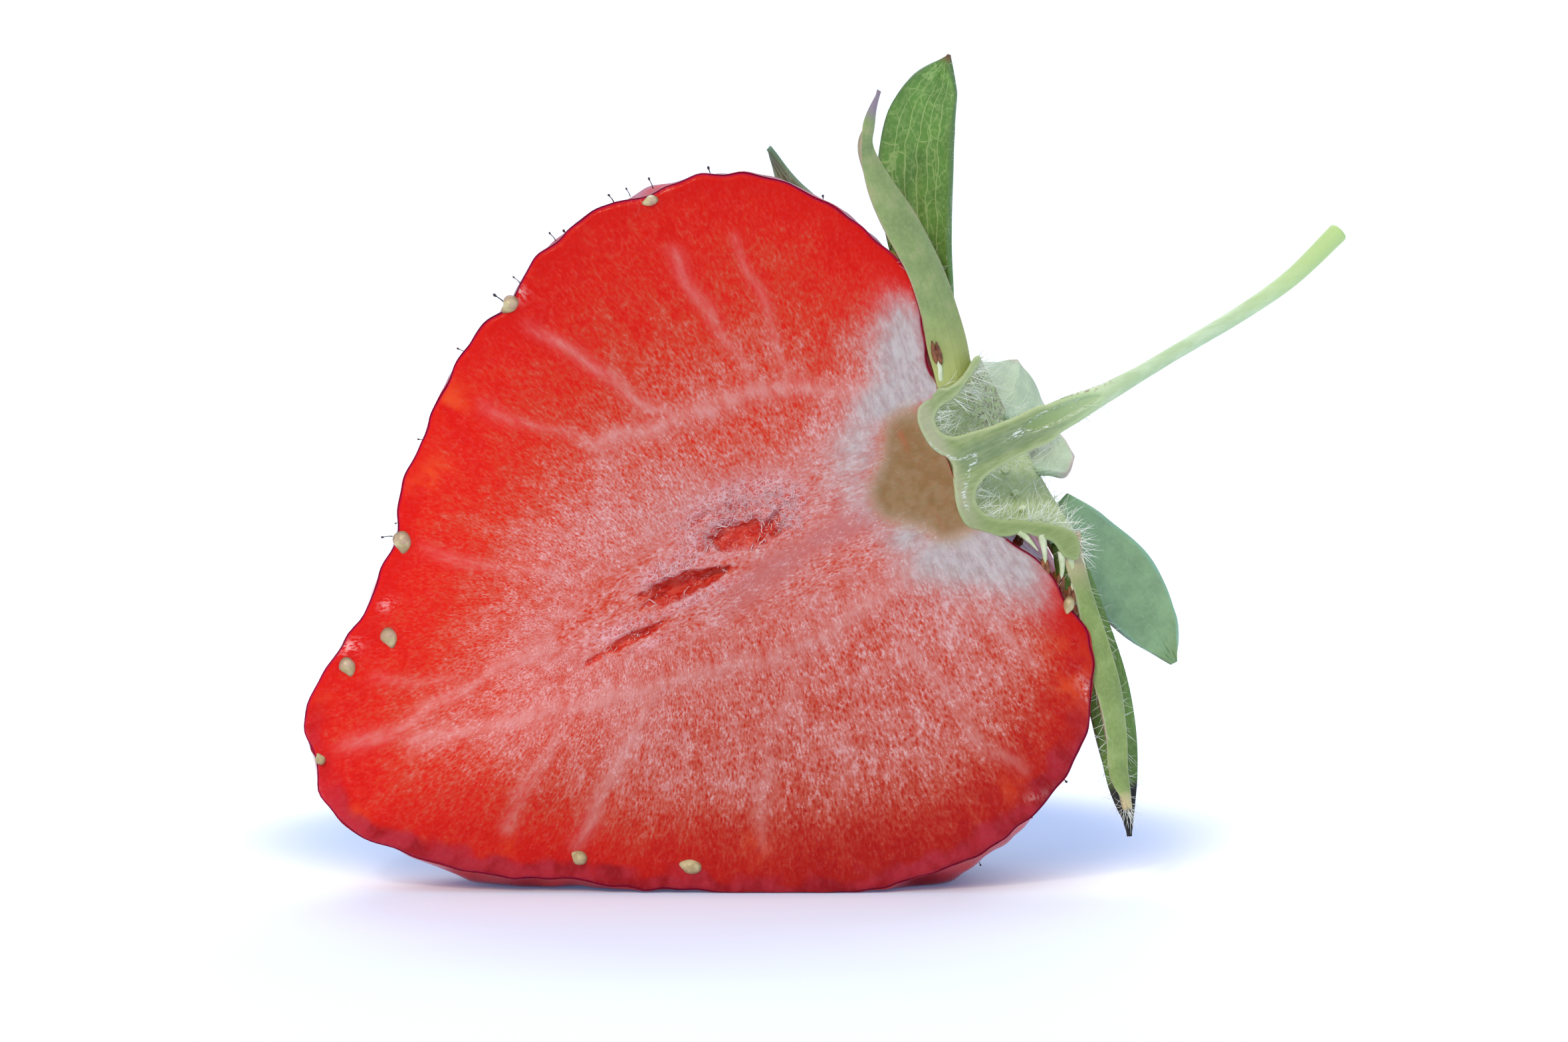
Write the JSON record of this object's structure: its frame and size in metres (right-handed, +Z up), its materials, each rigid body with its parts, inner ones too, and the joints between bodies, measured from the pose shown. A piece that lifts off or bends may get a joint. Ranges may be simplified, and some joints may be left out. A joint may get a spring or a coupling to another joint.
{
  "type": "halved strawberry",
  "caption": "Ripe strawberry cut in half lengthwise through its stalk, lying on its side with the cut face upright, with its calyx of sepals and bent stalk.",
  "frame": {"origin": "middle of the flat spot on the underside that the half rests on, under its centre of mass", "axes": "+X from the fruit's tip towards the stalk, +Y away from the cut face, +Z up"},
  "size_m": [0.0524, 0.0173, 0.0417],
  "materials": {
    "flesh": "wet, translucent ripe fruit flesh with a thin glossy skin",
    "achene": "smooth golden tan seeds",
    "stalk": "pale green, softly haired plant tissue",
    "sepal": "soft green leaf with pale net veins and fine white hairs",
    "hair": "fine silky white plant hairs"
  },
  "bodies": {
    "root": {"flesh": "flesh", "stalk": "stalk", "sepal_top_horn": "sepal", "sepal_top_broad": "sepal", "sepal_back_high": "sepal", "sepal_back_upper": "sepal", "sepal_back_lower": "sepal", "sepal_low_broad": "sepal", "sepal_low_dark": "sepal", "sepal_low_cut": "sepal"}
  },
  "joints": []
}
